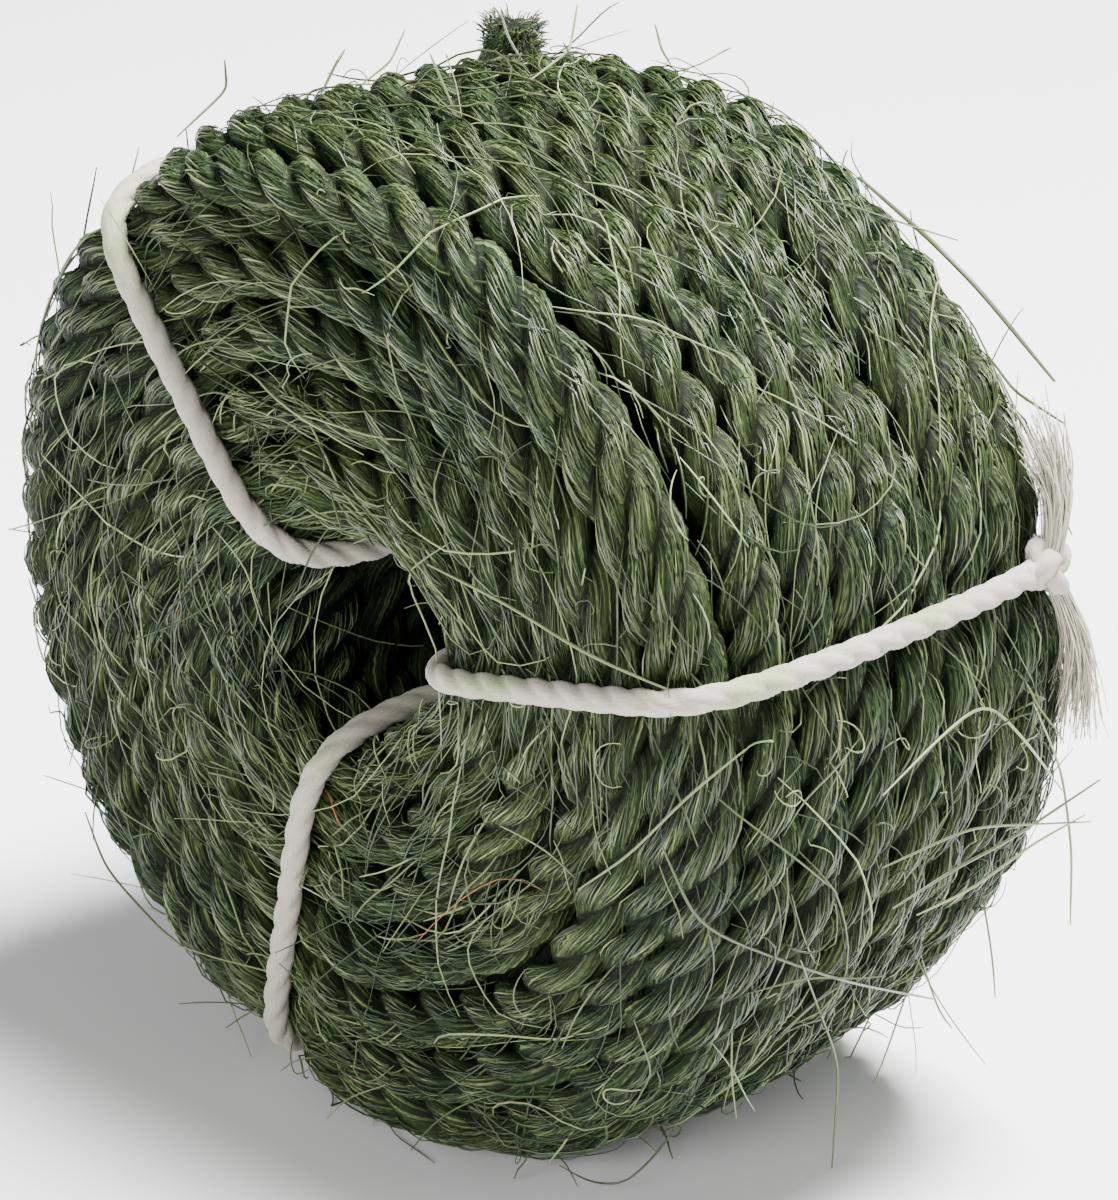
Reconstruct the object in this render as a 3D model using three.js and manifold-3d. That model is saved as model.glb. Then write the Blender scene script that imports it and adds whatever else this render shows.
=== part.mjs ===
// Coil of three-strand sisal rope, wound as a short barrel with an open core and bound by three cotton strings.
// Millimetres, +Z up. The coil stands on its rim: its winding axis lies level along Y, the end face that is
// seen looks towards -Y, and the origin is the middle of the small flat spot that the coil rests on.
import * as THREE from "three";
import { mergeVertices } from "three/addons/utils/BufferGeometryUtils.js";
import Module from "manifold-3d";

const wasm = await Module();
wasm.setup();

// The rope, the binding string, and how far the string stays clear of the winding.
const ROPE_D = 6;
const STRING_D = 2.7;
const GAP = 0.62;

// The winding: a rounded section swept round the axis, a little oval, fuller in the middle than at its rims.
const COIL = {
  radius: 52.8,
  halfWidth: 28,
  squareness: 6,
  barrel: 0.046,
  taper: 0.035,
  oval: 0.028,
  ovalAngle: -32,
  flatDepth: 1.6,
};

// Turns of rope round the whole section, how deep the furrow between two of them goes, and half the width of a
// turn's flat crest as a share of the turn.
const TURNS = 28;
const FURROW = 1.2;
const CREST_HALF = 0.24;

// The open core is an uneven rounded triangle: its radius by angle from +X, in even steps.
const CORE = [
  { angle: 0, radius: 11.0 },
  { angle: 30, radius: 13.6 },
  { angle: 60, radius: 12.5 },
  { angle: 90, radius: 10.9 },
  { angle: 120, radius: 10.4 },
  { angle: 150, radius: 10.7 },
  { angle: 180, radius: 11.5 },
  { angle: 210, radius: 12.4 },
  { angle: 240, radius: 10.9 },
  { angle: 270, radius: 8.2 },
  { angle: 300, radius: 6.6 },
  { angle: 330, radius: 7.4 },
];

// Each string lies in a plane through the axis, at an angle from +X, and bites into the winding.
// Its knot is so far along the section from the middle of the belly, and its two tails end at offsets from the
// knot: side (round the axis), out (away from the winding) and along (onwards round the section).
const TIES = [
  {
    name: "tie_left",
    angle: 133,
    bite: 2.0,
    knotAlong: 45,
    tails: [
      { side: 11, out: 1.6, along: -4 },
      { side: -9, out: 1.6, along: 6 },
    ],
  },
  {
    name: "tie_right",
    angle: 12.5,
    bite: 2.0,
    knotAlong: 21,
    tails: [
      { side: 14, out: -0.6, along: 4 },
      { side: -17, out: -0.6, along: 3.5 },
    ],
  },
  {
    name: "tie_low",
    angle: 255.3,
    bite: 3.3,
    knotAlong: 45,
    tails: [
      { side: 10, out: 2.4, along: 5 },
      { side: -11, out: 2.4, along: -2 },
    ],
  },
];
const KNOT = { radius: 3.1, squash: 0.8, lift: 0.8, tailArch: 1.6 };
const BITE_HALF_WIDTH = 4.5;
const BITE_IN_CORE = 0.25;

// The rope's free end leaves the outermost turn of the far end face and springs straight up past the rim.
// Heights here are from the winding's axis.
const ROPE_END = [
  { x: -39.4, y: 30.9, z: -18 },
  { x: -42.0, y: 30.9, z: -9 },
  { x: -43.1, y: 30.9, z: 1 },
  { x: -43.0, y: 31.0, z: 11 },
  { x: -42.2, y: 31.2, z: 21 },
  { x: -40.9, y: 31.6, z: 31 },
  { x: -39.0, y: 32.2, z: 41.4 },
];

const SECTION_SAMPLES = 360;
const TIE_STATIONS = [-12, -7, -3, 0, 3, 7, 12];
const MAX_STATION_STEP = 9.5;
const STRING_SIDES = 8;
const STRING_STEPS = 40;
const TAIL_STEPS = 4;
const ROPE_SIDES = 12;
const ROPE_END_STEPS = 8;

const FULL_TURN = 2 * Math.PI;
const radians = THREE.MathUtils.degToRad;
const lerp = THREE.MathUtils.lerp;

const sisal = new THREE.MeshStandardMaterial({ color: 0x4c6138, roughness: 0.95, metalness: 0 });
const cotton = new THREE.MeshStandardMaterial({ color: 0xd9d0c0, roughness: 0.9, metalness: 0 });

function coreRadius(turn) {
  const step = FULL_TURN / CORE.length;
  const at = THREE.MathUtils.euclideanModulo(turn, FULL_TURN) / step;
  const row = Math.floor(at);
  const blend = (1 - Math.cos(Math.PI * (at - row))) / 2;
  return lerp(CORE[row].radius, CORE[(row + 1) % CORE.length].radius, blend);
}

function outerRadius(turn) {
  return COIL.radius * (1 + COIL.oval * Math.cos(2 * (turn - radians(COIL.ovalAngle))));
}

function signedPower(value, power) {
  return Math.sign(value) * Math.abs(value) ** power;
}

// The section's outline at an angle round the axis, as points (across, radius) from the middle of the belly
// over the far rim, the far face, the core and the near face, with each point's share of the way round.
function sectionOutline(turn) {
  const inner = coreRadius(turn);
  const outer = outerRadius(turn);
  const power = 2 / COIL.squareness;
  const points = [];
  for (let i = 0; i <= SECTION_SAMPLES; i += 1) {
    const t = (FULL_TURN * i) / SECTION_SAMPLES;
    const across = signedPower(Math.sin(t), power);
    const level = (1 + signedPower(Math.cos(t), power)) / 2;
    const loss = level * (COIL.barrel * across * across + COIL.taper * across);
    points.push(new THREE.Vector2(COIL.halfWidth * across, lerp(inner, outer, level) * (1 - loss)));
  }
  const lengths = [0];
  for (let i = 1; i < points.length; i += 1) {
    lengths.push(lengths[i - 1] + points[i].distanceTo(points[i - 1]));
  }
  return { points, lengths, inner, outer };
}

const outlines = new Map();

function outlineAt(turn) {
  if (!outlines.has(turn)) {
    outlines.set(turn, sectionOutline(turn));
  }
  return outlines.get(turn);
}

// A point of the outline at a share of its length, and the way out of the winding there.
function sectionPoint(turn, share) {
  const { points, lengths, inner, outer } = outlineAt(turn);
  const wanted = THREE.MathUtils.euclideanModulo(share, 1) * lengths[lengths.length - 1];
  let i = 1;
  while (i < lengths.length - 1 && lengths[i] < wanted) {
    i += 1;
  }
  const blend = (wanted - lengths[i - 1]) / (lengths[i] - lengths[i - 1]);
  const point = points[i - 1].clone().lerp(points[i], blend);
  const along = points[i].clone().sub(points[i - 1]).normalize();
  const level = (point.y - inner) / (outer - inner);
  return { point, out: new THREE.Vector2(-along.y, along.x), level };
}

function sectionLength(turn) {
  const { lengths } = outlineAt(turn);
  return lengths[lengths.length - 1];
}

// How far a string's bite takes the winding's surface in, at a point of the outline.
function biteDepth(turn, radius, level) {
  let depth = 0;
  for (const tie of TIES) {
    const away = turn - radians(tie.angle);
    if (Math.cos(away) > 0) {
      const sideways = (radius * Math.sin(away)) / BITE_HALF_WIDTH;
      depth += tie.bite * Math.exp(-sideways * sideways);
    }
  }
  return depth * lerp(BITE_IN_CORE, 1, THREE.MathUtils.clamp(level, 0, 1));
}

const AXIS_HEIGHT = outerRadius(radians(270)) - COIL.flatDepth;

// Puts a section point into the object's frame, raised above the winding's surface by lift.
function place(turn, share, lift) {
  const { point, out, level } = sectionPoint(turn, share);
  const raised = lift - biteDepth(turn, point.y, level);
  const radius = point.y + out.y * raised;
  return new THREE.Vector3(
    radius * Math.cos(turn),
    point.x + out.x * raised,
    radius * Math.sin(turn) + AXIS_HEIGHT,
  );
}

// Shares of the outline where the coil's mesh has points: a furrow and two crest points for each turn of rope,
// and one point for each turn inside the core.
function profileShares() {
  const shares = [];
  for (let i = 0; i < TURNS; i += 1) {
    const middle = i / TURNS;
    const inCore = sectionPoint(0, middle).level < 0.08;
    if (inCore) {
      shares.push({ share: middle, lift: -FURROW / 2 });
    } else {
      shares.push({ share: middle - 0.5 / TURNS, lift: -FURROW });
      shares.push({ share: middle - CREST_HALF / TURNS, lift: 0 });
      shares.push({ share: middle + CREST_HALF / TURNS, lift: 0 });
    }
  }
  return shares;
}

// Angles round the axis where the mesh has sections: close together at each string, evenly between them.
function stationAngles() {
  const atTies = TIES.flatMap((tie) => TIE_STATIONS.map((offset) => tie.angle + offset));
  atTies.sort((a, b) => a - b);
  const angles = [];
  atTies.forEach((angle, i) => {
    const next = i + 1 < atTies.length ? atTies[i + 1] : atTies[0] + 360;
    const pieces = Math.ceil((next - angle) / MAX_STATION_STEP);
    for (let k = 0; k < pieces; k += 1) {
      angles.push(radians(angle + ((next - angle) * k) / pieces));
    }
  });
  return angles;
}

function coilGeometry() {
  const profile = profileShares();
  const stations = stationAngles();
  const positions = [];
  for (const turn of stations) {
    for (const { share, lift } of profile) {
      const p = place(turn, share, lift);
      positions.push(p.x, p.y, Math.max(p.z, 0));
    }
  }
  const index = [];
  const count = profile.length;
  stations.forEach((turn, i) => {
    const here = i * count;
    const next = ((i + 1) % stations.length) * count;
    for (let j = 0; j < count; j += 1) {
      const k = (j + 1) % count;
      index.push(here + j, here + k, next + k, here + j, next + k, next + j);
    }
  });
  const geometry = new THREE.BufferGeometry();
  geometry.setAttribute("position", new THREE.Float32BufferAttribute(positions, 3));
  geometry.setIndex(index);
  return geometry;
}

function sweep(points, diameter, sides, steps) {
  const outline = new THREE.Shape();
  for (let i = 0; i < sides; i += 1) {
    const angle = (FULL_TURN * i) / sides;
    const x = (diameter / 2) * Math.cos(angle);
    const y = (diameter / 2) * Math.sin(angle);
    if (i === 0) {
      outline.moveTo(x, y);
    } else {
      outline.lineTo(x, y);
    }
  }
  outline.closePath();
  const path = new THREE.CatmullRomCurve3(points, false, "centripetal");
  return new THREE.ExtrudeGeometry(outline, { steps, bevelEnabled: false, extrudePath: path });
}

function toSolid(geometry) {
  const bare = geometry.clone();
  bare.deleteAttribute("normal");
  bare.deleteAttribute("uv");
  const merged = mergeVertices(bare, 1e-4);
  return new wasm.Manifold(
    new wasm.Mesh({
      numProp: 3,
      vertProperties: new Float32Array(merged.attributes.position.array),
      triVerts: new Uint32Array(merged.index.array),
    }),
  );
}

function toGeometry(solid) {
  const { vertProperties, triVerts } = solid.getMesh();
  const geometry = new THREE.BufferGeometry();
  geometry.setAttribute("position", new THREE.BufferAttribute(vertProperties, 3));
  geometry.setIndex(new THREE.BufferAttribute(triVerts, 1));
  return geometry;
}

// A frame at a tie's knot: side round the axis, out of the winding, and along the section.
function knotFrame(turn, share) {
  const { out } = sectionPoint(turn, share);
  const radial = new THREE.Vector3(Math.cos(turn), 0, Math.sin(turn));
  const across = new THREE.Vector3(0, 1, 0);
  return {
    side: new THREE.Vector3(-Math.sin(turn), 0, Math.cos(turn)),
    out: radial.clone().multiplyScalar(out.y).addScaledVector(across, out.x),
    along: radial.clone().multiplyScalar(-out.x).addScaledVector(across, out.y),
  };
}

function offsetFrom(origin, frame, { side, out, along }) {
  return origin
    .clone()
    .addScaledVector(frame.side, side)
    .addScaledVector(frame.out, out)
    .addScaledVector(frame.along, along);
}

function knotGeometry(centre, frame) {
  const geometry = new THREE.SphereGeometry(KNOT.radius, 8, 6);
  const turned = new THREE.Matrix4().makeBasis(frame.side, frame.along.clone().negate(), frame.out);
  turned.scale(new THREE.Vector3(1, 1, KNOT.squash));
  turned.setPosition(centre);
  return geometry.applyMatrix4(turned);
}

// One string: a loop through the core from knot to knot, the knot, and its two tails, joined in one solid.
function tieGeometry(tie) {
  const turn = radians(tie.angle);
  const knotShare = tie.knotAlong / sectionLength(turn);
  const lift = STRING_D / 2 + GAP;
  const loop = [];
  for (let i = 0; i <= STRING_STEPS; i += 1) {
    loop.push(place(turn, knotShare + i / STRING_STEPS, lift));
  }
  const frame = knotFrame(turn, knotShare);
  const knot = loop[0].clone().addScaledVector(frame.out, KNOT.lift);
  let solid = toSolid(sweep(loop, STRING_D, STRING_SIDES, STRING_STEPS));
  solid = solid.add(toSolid(knotGeometry(knot, frame)));
  for (const tail of tie.tails) {
    const half = { side: tail.side / 2, out: tail.out / 2 + KNOT.tailArch, along: tail.along / 2 };
    const route = [knot, offsetFrom(knot, frame, half), offsetFrom(knot, frame, tail)];
    solid = solid.add(toSolid(sweep(route, STRING_D, STRING_SIDES, TAIL_STEPS)));
  }
  return toGeometry(solid);
}

function ropeEndGeometry() {
  const route = ROPE_END.map(({ x, y, z }) => new THREE.Vector3(x, y, z + AXIS_HEIGHT));
  return sweep(route, ROPE_D, ROPE_SIDES, ROPE_END_STEPS);
}

function named(name, geometry, material) {
  const mesh = new THREE.Mesh(geometry, material);
  mesh.name = name;
  return mesh;
}

const coil = new THREE.Group();
coil.add(named("rope_coil", coilGeometry(), sisal));
coil.add(named("rope_end", ropeEndGeometry(), sisal));
for (const tie of TIES) {
  coil.add(named(tie.name, tieGeometry(tie), cotton));
}

export default coil;
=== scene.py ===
"""A coil of green dyed sisal rope, bound by three cotton strings and standing on its rim.

Lengths in the tables are in millimetres. The coil's winding axis lies along Y, AXIS_HEIGHT above the surface it
rests on. A place on the winding is an angle round that axis and a share of the way round its section, which
starts at the middle of the belly and goes over the far rim, the far face, the core and the near face.
"""

import math

import bpy
import numpy as np
from bpy.props import FloatProperty, FloatVectorProperty, IntProperty, PointerProperty
from bpy.types import Operator, Panel, PropertyGroup
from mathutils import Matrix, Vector


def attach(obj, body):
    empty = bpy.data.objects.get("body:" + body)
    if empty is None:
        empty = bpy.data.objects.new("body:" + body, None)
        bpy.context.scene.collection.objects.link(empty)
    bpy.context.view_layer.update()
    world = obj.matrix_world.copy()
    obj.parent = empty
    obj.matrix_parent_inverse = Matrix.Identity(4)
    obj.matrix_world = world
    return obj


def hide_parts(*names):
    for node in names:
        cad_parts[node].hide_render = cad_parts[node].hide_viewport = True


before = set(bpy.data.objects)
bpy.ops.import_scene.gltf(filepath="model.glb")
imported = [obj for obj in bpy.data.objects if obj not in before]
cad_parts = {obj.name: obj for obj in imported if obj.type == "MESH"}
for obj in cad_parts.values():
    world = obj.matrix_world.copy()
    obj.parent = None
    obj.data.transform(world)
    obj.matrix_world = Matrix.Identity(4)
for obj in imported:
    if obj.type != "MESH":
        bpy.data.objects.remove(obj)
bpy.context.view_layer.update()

bl_info = {
    "name": "Sisal Rope Coil",
    "version": (1, 0, 0),
    "blender": (4, 5, 0),
    "location": "3D View > Sidebar > Rope Coil",
    "description": "Builds a coil of dyed sisal rope bound by cotton strings",
    "category": "Add Mesh",
}

TAU = 2 * math.pi
MM = 0.001

# The winding, as the solid model has it.

COIL_RADIUS, COIL_HALF_WIDTH, SQUARENESS = 52.8, 28.0, 6.0
BARREL, TAPER, OVAL, OVAL_ANGLE, FLAT_DEPTH = 0.046, 0.035, 0.028, -32.0, 1.6
TURNS = 28

# The core's radius at every 30 degrees from +X.
CORE_RADII = (11.0, 13.6, 12.5, 10.9, 10.4, 10.7, 11.5, 12.4, 10.9, 8.2, 6.6, 7.4)

# Each string's angle, how far it bites in, how far along the section its knot is from the belly's middle, and
# where its two tails end: sideways round the axis, out of the winding, and onwards along the section.
TIES = {
    "tie_left": (133.0, 2.0, 45.0, ((11.0, 1.6, -4.0), (-9.0, 1.6, 6.0))),
    "tie_right": (12.5, 2.0, 21.0, ((14.0, -0.6, 4.0), (-17.0, -0.6, 3.5))),
    "tie_low": (255.3, 3.3, 45.0, ((10.0, 2.4, 5.0), (-11.0, 2.4, -2.0))),
}
BITE_HALF_WIDTH, BITE_IN_CORE = 4.5, 0.25

# The rope's free end, from where it leaves the far face to its tip: x, y, and height from the axis.
ROPE_END = (
    (-31.0, 24.8, -33.0),
    (-35.2, 27.6, -26.5),
    (-38.4, 30.2, -20.0),
    (-40.6, 30.9, -13.5),
    (-42.0, 31.0, -6.5),
    (-43.1, 31.0, 1.0),
    (-43.2, 31.0, 7.0),
    (-42.9, 31.1, 13.0),
    (-42.3, 31.3, 19.5),
    (-41.4, 31.5, 26.5),
    (-40.3, 31.8, 33.5),
    (-38.7, 32.3, 43.2),
)

# Single long fibres: how thick beside the others, and where each passes: x, y, and height from the axis.
LONG_FIBRES = (
    (1.9, (23.8, 20.0, 44.7), (27.5, 26.4, 37.7), (33.5, 27.2, 33.9), (41.6, 29.5, 26.0)),
    (1.2, (40.2, 21.3, 30.5), (39.2, 26.4, 25.1), (43.5, 29.1, 22.2)),
    (1.0, (41.6, 21.4, 28.9), (42.5, 25.9, 20.1), (47.0, 26.7, 12.3)),
    (0.9, (53.9, -16.9, -16.5), (40.7, 2.2, -38.8), (41.3, 0.8, -49.6)),
    (1.3, (48.0, -29.3, -2.9), (50.6, -27.0, -11.2), (51.9, -9.4, -21.9), (42.8, 13.1, -34.6)),
    (1.2, (54.3, -5.0, -14.9), (54.1, 3.4, -13.6), (52.6, 13.5, -13.9), (51.3, 27.2, -12.4)),
    (1.0, (53.2, -0.5, -17.4), (52.8, 7.6, -17.4), (51.0, 18.2, -16.5), (50.2, 26.4, -16.3)),
    (1.0, (55.4, -7.7, -9.4), (54.8, 5.3, -9.4), (50.8, 26.6, -16.9)),
    (1.1, (55.7, -8.1, -1.7), (55.2, -0.3, 1.5), (54.4, 7.1, 3.3), (54.1, 13.6, -3.6), (48.9, 24.3, -13.4)),
    (1.0, (53.7, 14.6, 0.2), (48.5, 24.7, -11.5), (50.0, 24.9, -19.7), (50.0, 25.0, -27.9)),
    (1.0, (-39.2, -27.7, -28.9), (-35.2, -28.4, -33.8), (-26.0, -29.3, -36.8), (-20.5, -29.9, -37.4)),
    (1.0, (-26.2, -17.7, 53.1), (-25.7, -17.9, 50.2), (-25.4, -24.6, 47.0)),
    (1.2, (-20.5, -7.1, 53.2), (-20.0, -8.7, 52.2), (-10.2, -19.2, 53.7)),
    (0.9, (-19.4, -0.1, 54.0), (-18.4, -3.0, 51.5), (-8.7, -15.2, 54.2)),
    (1.0, (-12.1, 16.4, 54.7), (-10.7, 14.1, 50.8), (1.3, -2.3, 54.2)),
    (1.0, (-6.0, 21.3, 53.0), (-4.2, 20.5, 50.9), (2.5, 15.2, 52.2)),
    (1.0, (-15.8, -0.0, 52.2), (-5.7, -8.0, 54.4), (2.5, -13.7, 54.5)),
    (0.8, (29.0, -24.5, -44.9), (28.0, -19.5, -49.0), (31.0, -17.6, -48.8), (32.8, -14.5, -45.4), (45.5, -22.3, -31.8)),
    (0.7, (43.7, -28.7, -22.4), (44.0, -26.5, -28.6), (40.4, -26.0, -34.5)),
    (1.1, (37.4, -30.0, -10.7), (44.3, -30.0, -4.8), (49.9, -28.0, 2.4), (52.5, -23.1, 6.5)),
    (1.3, (16.3, -29.7, 15.9), (27.2, -29.4, 15.0), (38.1, -29.5, 13.3), (48.8, -25.4, 10.6)),
    (1.1, (25.3, -3.4, 47.0), (33.2, -4.3, 41.6), (41.9, -6.6, 34.2), (45.8, -8.3, 28.6)),
)

# The rope steps on to its next turn between these angles, low at the back.
STEP_FROM, STEP_TO = 150.0, 255.0

# Where a turn lies out of line: turn, angle, half the length of it in degrees, shift towards the next turn in
# turns, and rise in millimetres.
QUIRKS = (
    (24.0, 42.0, 34.0, -0.22, 0.5),
    (25.0, 38.0, 34.0, 0.42, 0.1),
    (26.0, 38.0, 36.0, 0.36, 0.2),
    (27.0, 40.0, 36.0, 0.22, 0.2),
    (0.0, 42.0, 34.0, 0.06, 0.3),
    (1.0, 48.0, 26.0, 0.05, -2.6),
    (2.0, 48.0, 30.0, -0.12, 0.5),
    (24.0, 98.0, 22.0, -0.45, 0.4),
    (23.0, 100.0, 24.0, -0.15, -2.4),
    (25.0, 100.0, 24.0, -0.15, 0.2),
    (18.0, 318.0, 34.0, -0.4, 0.5),
    (19.0, 296.0, 24.0, 0.12, 0.2),
    (21.0, 350.0, 20.0, 0.15, -0.9),
    (22.0, 20.0, 22.0, -0.1, 0.6),
    (20.0, 75.0, 18.0, 0.2, 0.5),
    (21.0, 60.0, 16.0, 0.1, -1.3),
    (22.0, 160.0, 18.0, 0.1, -1.2),
    (26.0, 310.0, 30.0, 0.0, -0.9),
    (1.0, 310.0, 34.0, 0.0, -1.0),
    (3.0, 320.0, 30.0, 0.0, -1.2),
    (6.0, 60.0, 24.0, 0.2, -1.2),
    (7.0, 280.0, 24.0, -0.2, 0.6),
    (8.0, 190.0, 22.0, 0.2, -1.0),
    (4.0, 240.0, 30.0, 0.2, -1.5),
)
QUIRK_WIDTH = 0.55

# Wandering of the rope along its length: waves in the whole winding, and how strong each is.
WANDER_WAVES = (23, 47, 81, 146, 251)
WANDER_WEIGHTS = (0.5, 0.45, 0.35, 0.25, 0.15)

# How far the wandering takes a turn sideways (in turns), in or out, and the lay along the rope.
TURN_WANDER, LIFT_WANDER, LAY_WANDER, SWELL_WANDER = 0.13, 0.3, 1.5, 0.03

# The length round the section, and from one turn to the next.
SECTION_LENGTH, TURN_SPACING = 171.0, 6.1

ANGLE_STEPS, SHARE_STEPS, OUTLINE_STEPS = 720, 1120, 360
ROPE_STEP = 1.5
ROPE_STRAND_OUT, STRING_PLY_OUT = 0.47, 0.3
STRING_UNEVENNESS = 0.0001

# Half the floor's width.
FLOOR = 4000

# How fast a fibre turns round its strand, in radians a millimetre.
FIBRE_TWIST = 0.47


class RopeSizes(PropertyGroup):
    diameter: FloatProperty(
        name="Rope diameter", description="Across the laid rope", default=0.0064, unit="LENGTH", precision=4
    )
    lay: FloatProperty(
        name="Lay length", description="One full turn of a strand", default=0.0186, unit="LENGTH", precision=4
    )
    unevenness: FloatProperty(
        name="Unevenness", description="How far strands swell and shrink", default=0.00035, unit="LENGTH", precision=5
    )
    fibre: FloatProperty(
        name="Fibre diameter", description="One sisal fibre", default=0.00028, unit="LENGTH", precision=5
    )


class StringSizes(PropertyGroup):
    diameter: FloatProperty(
        name="String diameter", description="Across the twisted cotton", default=0.0027, unit="LENGTH", precision=4
    )
    lay: FloatProperty(
        name="Ply length", description="One full turn of a ply", default=0.0105, unit="LENGTH", precision=4
    )
    filament: FloatProperty(
        name="Filament diameter", description="One bundle of cotton", default=0.00024, unit="LENGTH", precision=5
    )


class FibreCounts(PropertyGroup):
    per_lens: IntProperty(name="On each strand", description="Fibres where a strand surfaces", default=16)
    lying: IntProperty(name="Lying fibres", description="Fibres lying over the turns", default=2400)
    curly: IntProperty(name="Curly fibres", description="Small curls standing off the turns", default=260)
    flyaway: IntProperty(name="Flyaway fibres", description="Fibres with a free end", default=420)


class CoilColours(PropertyGroup):
    shade: FloatVectorProperty(
        name="Shaded green", description="Between fibres", subtype="COLOR", default=(0.004, 0.006, 0.0016)
    )
    leaf: FloatVectorProperty(
        name="Leaf green", description="The dyed sisal", subtype="COLOR", default=(0.031, 0.052, 0.0125)
    )
    blue_leaf: FloatVectorProperty(
        name="Blue green", description="Patches that took more dye", subtype="COLOR", default=(0.018, 0.039, 0.0125)
    )
    sunlit: FloatVectorProperty(
        name="Pale green", description="The palest fibres", subtype="COLOR", default=(0.31, 0.37, 0.16)
    )
    rust: FloatVectorProperty(
        name="Rust", description="The few brown fibres", subtype="COLOR", default=(0.33, 0.13, 0.05)
    )
    cotton: FloatVectorProperty(
        name="Cotton", description="The undyed string", subtype="COLOR", default=(0.45, 0.41, 0.345)
    )
    stain: FloatVectorProperty(
        name="Dye stain", description="Green rubbed on to the string", subtype="COLOR", default=(0.29, 0.38, 0.17)
    )


# Places on the winding.


def outer_radius(angle):
    return COIL_RADIUS * (1 + OVAL * np.cos(2 * (angle - math.radians(OVAL_ANGLE))))


AXIS_HEIGHT = float(outer_radius(math.radians(270))) - FLAT_DEPTH


def core_radius(angle):
    at = np.mod(angle, TAU) / TAU * len(CORE_RADII)
    row = np.floor(at).astype(int) % len(CORE_RADII)
    blend = (1 - np.cos(np.pi * (at - np.floor(at)))) / 2
    radii = np.array(CORE_RADII)
    return radii[row] * (1 - blend) + radii[(row + 1) % len(CORE_RADII)] * blend


def signed_power(value, power):
    return np.sign(value) * np.abs(value) ** power


def section_table():
    """Rows of across, radius, the way out of the winding (two columns) and level, at even angles and shares."""
    t = np.linspace(0, TAU, OUTLINE_STEPS + 1)
    across_unit = signed_power(np.sin(t), 2 / SQUARENESS)
    level = (1 + signed_power(np.cos(t), 2 / SQUARENESS)) / 2
    loss = level * (BARREL * across_unit**2 + TAPER * across_unit)
    wanted = np.arange(SHARE_STEPS) / SHARE_STEPS
    table = np.empty((ANGLE_STEPS, SHARE_STEPS, 5))
    for i in range(ANGLE_STEPS):
        angle = np.array(TAU * i / ANGLE_STEPS)
        inner, outer = float(core_radius(angle)), float(outer_radius(angle))
        across = COIL_HALF_WIDTH * across_unit
        radius = (inner + (outer - inner) * level) * (1 - loss)
        step_across, step_radius = np.diff(across), np.diff(radius)
        step = np.hypot(step_across, step_radius)
        share = np.concatenate([[0], np.cumsum(step)]) / step.sum()
        middle = (share[1:] + share[:-1]) / 2
        table[i, :, 0] = np.interp(wanted, share, across)
        table[i, :, 1] = np.interp(wanted, share, radius)
        table[i, :, 2] = np.interp(wanted, middle, -step_radius / step, period=1)
        table[i, :, 3] = np.interp(wanted, middle, step_across / step, period=1)
        table[i, :, 4] = (table[i, :, 1] - inner) / (outer - inner)
    return table


SECTION = section_table()


def bite_depth(angle, radius, level):
    """How far a string's bite takes the winding's surface in."""
    depth = np.zeros_like(radius)
    for tie_angle, bite, _, _ in TIES.values():
        away = angle - math.radians(tie_angle)
        sideways = radius * np.sin(away) / BITE_HALF_WIDTH
        depth += np.where(np.cos(away) > 0, bite * np.exp(-(sideways**2)), 0)
    return depth * (BITE_IN_CORE + (1 - BITE_IN_CORE) * np.clip(level, 0, 1))


def on_winding(angle, share, lift):
    """Points on the winding raised by lift, and the way out of the winding there."""
    angle, share, lift = np.broadcast_arrays(angle, share, lift)
    a = np.mod(angle, TAU) / TAU * ANGLE_STEPS
    s = np.mod(share, 1) * SHARE_STEPS
    i, j = np.floor(a).astype(int), np.floor(s).astype(int)
    fa, fs = (a - i)[..., None], (s - j)[..., None]
    i, j = i % ANGLE_STEPS, j % SHARE_STEPS
    i2, j2 = (i + 1) % ANGLE_STEPS, (j + 1) % SHARE_STEPS
    near = SECTION[i, j] * (1 - fs) + SECTION[i, j2] * fs
    next_one = SECTION[i2, j] * (1 - fs) + SECTION[i2, j2] * fs
    row = near * (1 - fa) + next_one * fa
    across, radius, out_across, out_radius, level = np.moveaxis(row, -1, 0)
    size = np.hypot(out_across, out_radius)
    out_across, out_radius = out_across / size, out_radius / size
    raised = lift - bite_depth(angle, radius, level)
    r = radius + out_radius * raised
    cos, sin = np.cos(angle), np.sin(angle)
    points = np.stack([r * cos, across + out_across * raised, r * sin + AXIS_HEIGHT], axis=-1)
    facing = np.stack([out_radius * cos, out_across, out_radius * sin], axis=-1)
    return points, facing


def smooth_step(x):
    x = np.clip(x, 0, 1)
    return x * x * (3 - 2 * x)


def wander(wound, seed):
    """A smooth wave of about -1 to 1 that comes back to its start after the whole winding."""
    phases = np.random.default_rng(seed).uniform(0, TAU, len(WANDER_WAVES))
    total = 0
    for wave, weight, phase in zip(WANDER_WAVES, WANDER_WEIGHTS, phases):
        total = total + weight * np.sin(wave * wound / TURNS + phase)
    return total


def stepped(angle):
    """How much of the step to the next turn is made at an angle."""
    return smooth_step((np.degrees(angle) - STEP_FROM) / (STEP_TO - STEP_FROM))


def turn_at(wound):
    """The turn, and the angle round the axis, after winding so far in radians from the belly's middle."""
    whole = np.floor(wound / TAU)
    angle = wound - TAU * whole
    return whole + stepped(angle), angle


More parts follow.
